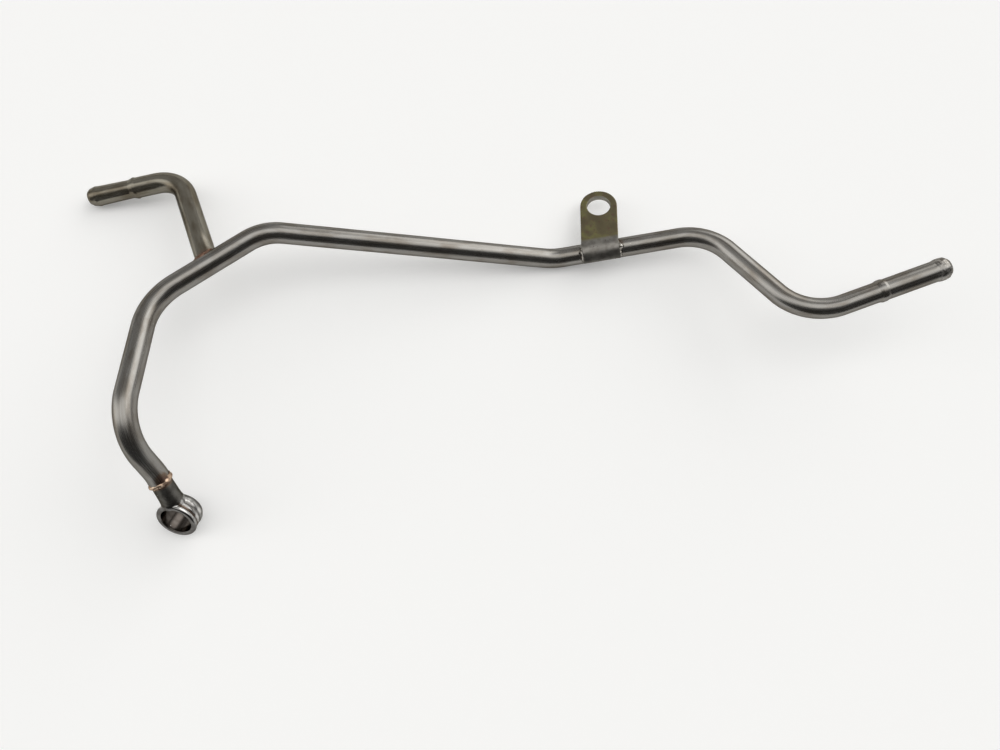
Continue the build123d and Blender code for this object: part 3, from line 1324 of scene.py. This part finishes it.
@dataclass(frozen=True)
class FootFillet:
    """The uneven fillet of filler metal where the branch stands on the main pipe, in millimetres."""

    name: str = "branch_foot_braze"
    rise: float = 1.1
    spread: float = 1.2
    bulge: float = 0.45
    sunk: float = 0.04
    edge_sunk: float = 0.05
    core_depth: float = 0.5
    turn_step: float = 3.0
    curve_steps: int = 10
    lumps: tuple[Lump, ...] = (
        Lump(150.0, 0.5, 30.0),
        Lump(60.0, 0.4, 22.0),
        Lump(100.0, 0.35, 16.0),
        Lump(250.0, 0.4, 30.0),
    )

    def build(self) -> bpy.types.Object:
        """Builds the fillet.

        Returns:
            The new object.
        """
        level, other = across(BRANCH_AXIS)
        skin = TEE_RUN.orthogonal().normalized() * (TUBE_RADIUS - self.sunk * MM)
        foot = Station(TEE, BRANCH_AXIS, level, 0.0)
        rings = []
        for step in range(round(360 / self.turn_step)):
            angle = step * self.turn_step
            out = outward(level, other, math.radians(angle))
            skin_point = pinched(foot, TEE + out * TUBE_RADIUS)
            corner = cope(TEE, BRANCH_AXIS, skin_point - TEE, TEE_RUN, skin)
            rings.append(self._section(angle, out, corner))
        return loft(self.name, rings, True)

    def _section(self, angle: float, out: Vector, corner: Vector) -> Ring:
        """The fillet's section at one angle round the branch.

        Args:
            angle: The angle in degrees.
            out: The direction away from the branch's axis.
            corner: Where the branch's skin meets the main pipe's.

        Returns:
            The section's points.
        """
        turn = math.radians(angle)
        waver = noise.noise(Vector((math.cos(turn), math.sin(turn), 4.0)) * 2.2)
        lump = sum(k.height * bell(turn_between(angle, k.angle), k.width) for k in self.lumps)
        normal = corner - TEE
        normal = (normal - TEE_RUN * normal.dot(TEE_RUN)).normalized()
        away = out - BRANCH_AXIS * 0.5
        away = (away - normal * away.dot(normal)).normalized()
        low = corner + away * self.spread * (1.0 + 0.6 * waver + lump) * MM
        flat = low - TEE
        along = flat.dot(TEE_RUN)
        to_skin = (flat - TEE_RUN * along).normalized() * (TUBE_RADIUS - self.edge_sunk * MM)
        low = TEE + TEE_RUN * along + to_skin
        high = corner + (BRANCH_AXIS * self.rise * (1.0 - 0.5 * waver + lump) - out * self.sunk) * MM
        bulge = (normal + out).normalized()
        pull = corner + bulge * (self.bulge + 0.4 * lump + 0.3 * waver) * MM
        shares = [k / self.curve_steps for k in range(self.curve_steps + 1)]
        curve = [high.lerp(pull, share).lerp(pull.lerp(low, share), share) for share in shares]
        return curve + [corner - bulge * self.core_depth * MM]


class SaddleEdge(Enum):
    """The two edges of the saddle where filler metal lies."""

    LEFT = -1
    RIGHT = 1


@dataclass(frozen=True)
class SaddleRun:
    """A short run of filler metal between the saddle's edge and the main pipe.

    Its angles are in degrees round the pipe, from the tab's direction, and its sizes in millimetres.
    The core is the two points inside the metal that close its section, as radius out from the pipe's
    skin and distance out from the saddle's edge.
    """

    name: str
    edge: SaddleEdge
    node: str
    lumps: tuple[Lump, ...]
    first_angle: float = 86.0
    last_angle: float = 174.0
    half_length: float = 9.5
    width: float = 1.0
    height: float = 2.0
    sunk: float = 0.05
    core: Profile = ((0.2, -0.5), (-0.3, -0.5))
    waver_angle: float = 14.0
    turn_steps: int = 40
    curve_steps: int = 12

    def build(self) -> bpy.types.Object:
        """Builds the run.

        Returns:
            The new object.
        """
        rings = []
        for step in range(self.turn_steps + 1):
            share = step / self.turn_steps
            angle = self.first_angle + (self.last_angle - self.first_angle) * share
            full = math.sin(math.pi * (0.18 + 0.76 * share)) ** 0.4
            rings.append(self._section(angle, full))
        return loft(self.name, rings, False)

    def _section(self, angle: float, full: float) -> Ring:
        """The run's section at one angle round the main pipe.

        Args:
            angle: The angle in degrees.
            full: How full the run is there, from 0 to 1.

        Returns:
            The section's points.
        """
        out = outward(TAB_DIR, TAB_UP, math.radians(angle))
        away = BRACKET_RUN * self.edge.value
        waver = noise.noise(Vector((angle / self.waver_angle, self.edge.value * 3.0, 1.0)))
        width = self.width * full * (1.0 + 0.5 * waver)
        height = self.height * full * (1.0 + 0.6 * waver)
        radius = TUBE_RADIUS / MM
        swell = sum(
            lump.height * bell(math.radians(angle - lump.angle) * radius, lump.width) for lump in self.lumps
        )
        hollow = 1.6 - 0.75 * min(1.0, swell)
        found = []
        for k in range(self.curve_steps + 1):
            quarter = k / self.curve_steps * math.pi / 2
            along = (width + swell) * max(0.0, math.cos(quarter)) ** hollow
            rise = (height + 0.7 * swell) * math.sin(quarter) ** hollow
            found.append((radius - self.sunk + rise, self.half_length - self.sunk + along))
        found += [(radius + rise, self.half_length + along) for rise, along in self.core]
        return [BRACKET_CENTRE + (out * r + away * a) * MM for r, a in found]


@dataclass(frozen=True)
class PipeAssembly:
    """The main pipe with its branch, their finishes, and the filler metal that joins them."""

    main_spigot: Profile = (
        (4.2, 0.0), (5.3, 1.6), (5.55, 3.2), (5.55, 5.0), (5.15, 7.0),
        (5.15, 31.4), (5.5, 32.6), (5.5, 34.4), (5.0, 35.8), (5.0, 39.0),
    )
    branch_spigot: Profile = (
        (3.4, 0.0), (4.3, 1.4), (4.95, 4.0), (4.75, 5.4), (4.5, 21.2),
        (5.3, 23.6), (5.0, 24.8), (5.0, 27.0),
    )
    main_bend: float = 26 * MM
    branch_bend: float = 16 * MM
    coped_inside: float = 0.1 * MM
    scuffed_length: float = 9.5

    def main_tube(self) -> FormedTube:
        """The long tube, from the neck to its spigot."""
        route = TubeRoute((NECK_JOINT, *MAIN_CORNERS[1:]), self.main_bend)
        return FormedTube("main_tube", route, self.main_spigot)

    def branch_tube(self) -> FormedTube:
        """The short tube, from the tee to its spigot."""
        route = TubeRoute((TEE, *BRANCH_CORNERS), self.branch_bend)
        skin = TEE_RUN.orthogonal().normalized() * (TUBE_RADIUS - self.coped_inside)
        return FormedTube("branch_tube", route, self.branch_spigot, coped_to=(TEE_RUN, skin))

    def main_steel(self) -> TubeSteel:
        """The long tube's finish: satin, heated at its three joints and scuffed by its mouth."""
        run = self.main_tube().route.stations()[-1].run
        return TubeSteel(
            "satin_tube_steel",
            metal=(0.275, 0.266, 0.250, 1.0),
            stain=(0.205, 0.188, 0.166, 1.0),
            roughness=0.25,
            torched=(
                Torched(NECK_JOINT + NECK_AXIS * 0.6 * MM, 6.6, 0.8, 0.78),
                Torched(NECK_JOINT + Vector((4.2, -1.0, 6.5)) * MM, 6.5, 1.6, 0.62),
                Torched(TEE + BRANCH_AXIS * 6 * MM, 6.5, 1.5, 0.55),
                Torched(BRACKET_CENTRE + BRACKET_RUN * 10 * MM + TAB_UP * 4 * MM, 4.0, 1.5, 0.3),
            ),
            scuffed_from=run / MM - self.scuffed_length,
        )

    def branch_steel(self) -> TubeSteel:
        """The short tube's finish: olive under a thin film, and heated at its foot."""
        return TubeSteel(
            "olive_tube_steel",
            metal=(0.235, 0.219, 0.182, 1.0),
            stain=(0.150, 0.130, 0.098, 1.0),
            roughness=0.18,
            torched=(Torched(TEE + BRANCH_AXIS * 4 * MM, 6.5, 1.5, 0.5),),
            seed=40.0,
            film=0.2,
        )

    def build(self, looks: Looks) -> None:
        """Builds and dresses both tubes and their filler metal.

        Args:
            looks: The shared layers.
        """
        main_steel = self.main_steel().material(looks)
        branch_steel = self.branch_steel().material(looks)
        install(self.main_tube().build(), main_steel, "tube_steel", "main_pipe")
        install(self.branch_tube().build(), branch_steel, "branch_steel", "branch_pipe")
        install(NeckBead().build(), COPPER_BRAZE.material(looks), "copper_braze", "braze_banjo")
        install(FootFillet().build(), RED_COPPER_BRAZE.material(looks), "copper_braze", "braze_branch")


@dataclass(frozen=True)
class BracketAssembly:
    """The folded bracket and the filler metal at its saddle."""

    runs: tuple[SaddleRun, ...] = (
        SaddleRun(
            "saddle_braze_left", SaddleEdge.LEFT, "braze_bracket_left",
            (Lump(113.0, 0.7, 0.9), Lump(150.0, 0.3, 1.4)),
        ),
        SaddleRun(
            "saddle_braze_right", SaddleEdge.RIGHT, "braze_bracket_right",
            (Lump(117.0, 1.5, 1.25), Lump(146.0, 0.3, 1.6), Lump(170.0, 0.6, 1.6)),
        ),
    )

    def build(self, looks: Looks) -> None:
        """Builds and dresses the bracket and its runs.

        Args:
            looks: The shared layers.
        """
        install(FoldedBracket().build(), BracketSteel().material(looks), "bracket_steel", "bracket")
        grey_braze = GREY_BRAZE.material(looks)
        for run in self.runs:
            install(run.build(), grey_braze, "grey_braze", run.node)


@dataclass(frozen=True)
class Panel:
    """A soft lamp panel of the studio, far off in one direction.

    Its half size and the width of its soft edge are tangents of the angles that they span.
    """

    way: Vector
    half_size: tuple[float, float]
    soft: float
    strength: float
    turn: float = 0.0

    def glow(self, nodes: Nodes, direction: Socket) -> Socket:
        """How bright the panel is in each direction.

        Args:
            nodes: The world's nodes.
            direction: The direction looked in.

        Returns:
            The socket that holds the brightness.
        """
        facing = self.way.normalized()
        side = Vector((0, 1, 0)).cross(facing).normalized()
        side = Matrix.Rotation(self.turn, 3, facing) @ side
        ahead = nodes.math("MAXIMUM", nodes.vector("DOT_PRODUCT", direction, tuple(facing)), 0.02)
        level: object = self.strength
        for edge, half in zip((side, facing.cross(side)), self.half_size):
            reach = nodes.math("DIVIDE", nodes.vector("DOT_PRODUCT", direction, tuple(edge)), ahead)
            reach = nodes.math("ABSOLUTE", reach)
            lit = nodes.ramp(reach, half - self.soft, half + self.soft, 1.0, 0.0)
            level = nodes.math("MULTIPLY", level, lit)
        return level


@dataclass(frozen=True)
class Studio:
    """A pale floor under soft lamp panels at both ends and overhead, and the camera above the pipe."""

    camera_place: Vector = point(-38.63, -96.63, 380.85)
    camera_right: Vector = Vector((0.99542, 0.0, 0.0956))
    camera_up: Vector = Vector((-0.02127, 0.97494, 0.22147))
    camera_lens: float = 28.08
    camera_sensor: float = 36.0
    camera_near: float = 0.01
    backdrop: float = 0.90
    light_color: Colour = (1.0, 0.995, 0.985, 1.0)
    floor_half: float = 30.0
    floor_color: Colour = (0.80, 0.80, 0.79, 1.0)
    floor_glow: float = 0.24
    ceiling: float = 0.07
    far_wall: float = 0.38
    horizon: float = 0.55
    panels: tuple[Panel, ...] = (
        Panel(Vector((-0.87, -0.03, 0.46)), (0.62, 0.27), 0.22, 1.75),
        Panel(Vector((0.02, 0.10, 0.98)), (0.60, 0.36), 0.18, 1.55, math.radians(12)),
        Panel(Vector((0.60, 0.60, 0.53)), (0.40, 0.62), 0.18, 1.90),
    )

    def build(self) -> None:
        """Sets up the floor, the light and the camera."""
        self._floor()
        self._world()
        self._camera()
        view = bpy.context.scene.view_settings
        view.view_transform = "Standard"
        LOG.info("studio: floor, %d lamp panels and camera", len(self.panels))

    def _camera(self) -> None:
        """Places the camera at the photograph's angle."""
        lens = bpy.data.cameras.new("photo_camera")
        lens.lens = self.camera_lens
        lens.sensor_width = self.camera_sensor
        lens.sensor_fit = "HORIZONTAL"
        lens.clip_start = self.camera_near
        camera = bpy.data.objects.new("photo_camera", lens)
        right = self.camera_right.normalized()
        up = self.camera_up.normalized()
        back = right.cross(up).normalized()
        turn = Matrix((right, back.cross(right), back)).transposed()
        camera.matrix_world = Matrix.Translation(self.camera_place) @ turn.to_4x4()
        bpy.context.scene.collection.objects.link(camera)
        bpy.context.scene.camera = camera

    def _floor(self) -> None:
        """Lays the floor, which looks pale to the eye and in the metal, and keeps the pipe's shadow."""
        mesh = bpy.data.meshes.new("floor")
        half = self.floor_half
        corners = [(-half, -half, 0), (half, -half, 0), (half, half, 0), (-half, half, 0)]
        mesh.from_pydata(corners, [], [(0, 1, 2, 3)])
        material = bpy.data.materials.new("pale_floor")
        material.use_nodes = True
        material.node_tree.nodes.clear()
        nodes = Nodes(material.node_tree)
        path = nodes.add("LightPath").outputs
        seen = nodes.math("MAXIMUM", path["Is Camera Ray"], path["Is Glossy Ray"])
        seen = nodes.math("MAXIMUM", seen, path["Is Transmission Ray"])
        paper = nodes.add("BsdfDiffuse", Color=self.floor_color)
        strength = nodes.math("MULTIPLY", seen, self.floor_glow)
        glow = nodes.add("Emission", Color=(1.0, 1.0, 1.0, 1.0), Strength=strength)
        both = nodes.add("AddShader")
        nodes.tree.links.new(paper.outputs[0], both.inputs[0])
        nodes.tree.links.new(glow.outputs[0], both.inputs[1])
        nodes.add("OutputMaterial", Surface=both.outputs[0])
        mesh.materials.append(material)
        floor = bpy.data.objects.new("floor", mesh)
        bpy.context.scene.collection.objects.link(floor)

    def _world(self) -> None:
        """Lights the room: a dim ceiling with soft panels, pale walls, and a pale backdrop to the eye."""
        world = bpy.data.worlds.new("studio")
        world.use_nodes = True
        world.node_tree.nodes.clear()
        nodes = Nodes(world.node_tree)
        direction = nodes.add("TexCoord").outputs["Generated"]
        way = nodes.add("SeparateXYZ", Vector=direction).outputs
        wall = nodes.ramp(way["Y"], 0.05, 0.6, 0.0, self.far_wall)
        ends = nodes.ramp(nodes.math("ABSOLUTE", way["X"]), 0.78, 0.97, 0.0, self.far_wall)
        low = nodes.ramp(nodes.math("ABSOLUTE", way["Z"]), 0.02, 0.12, self.horizon, 0.0)
        level: object = self.ceiling
        for part in (wall, ends, low):
            level = nodes.math("MAXIMUM", level, part)
        for panel in self.panels:
            level = nodes.math("ADD", level, panel.glow(nodes, direction))
        seen = nodes.add("LightPath").outputs["Is Camera Ray"]
        level = nodes.math("MULTIPLY", level, nodes.math("SUBTRACT", 1.0, seen))
        level = nodes.math("ADD", level, nodes.math("MULTIPLY", seen, self.backdrop))
        sky = nodes.add("Background", Color=self.light_color, Strength=level)
        nodes.add("OutputWorld", Surface=sky.outputs[0])
        bpy.context.scene.world = world


def main() -> None:
    """Loads the solids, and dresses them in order."""
    logging.basicConfig(level=logging.INFO, format="%(name)s: %(message)s")
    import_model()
    looks = Looks()
    PipeAssembly().build(looks)
    install(TurnedFitting().build(), TurnedSteel().material(looks), "turned_steel", "banjo_fitting")
    BracketAssembly().build(looks)
    Studio().build()


if __name__ == "__main__":
    main()
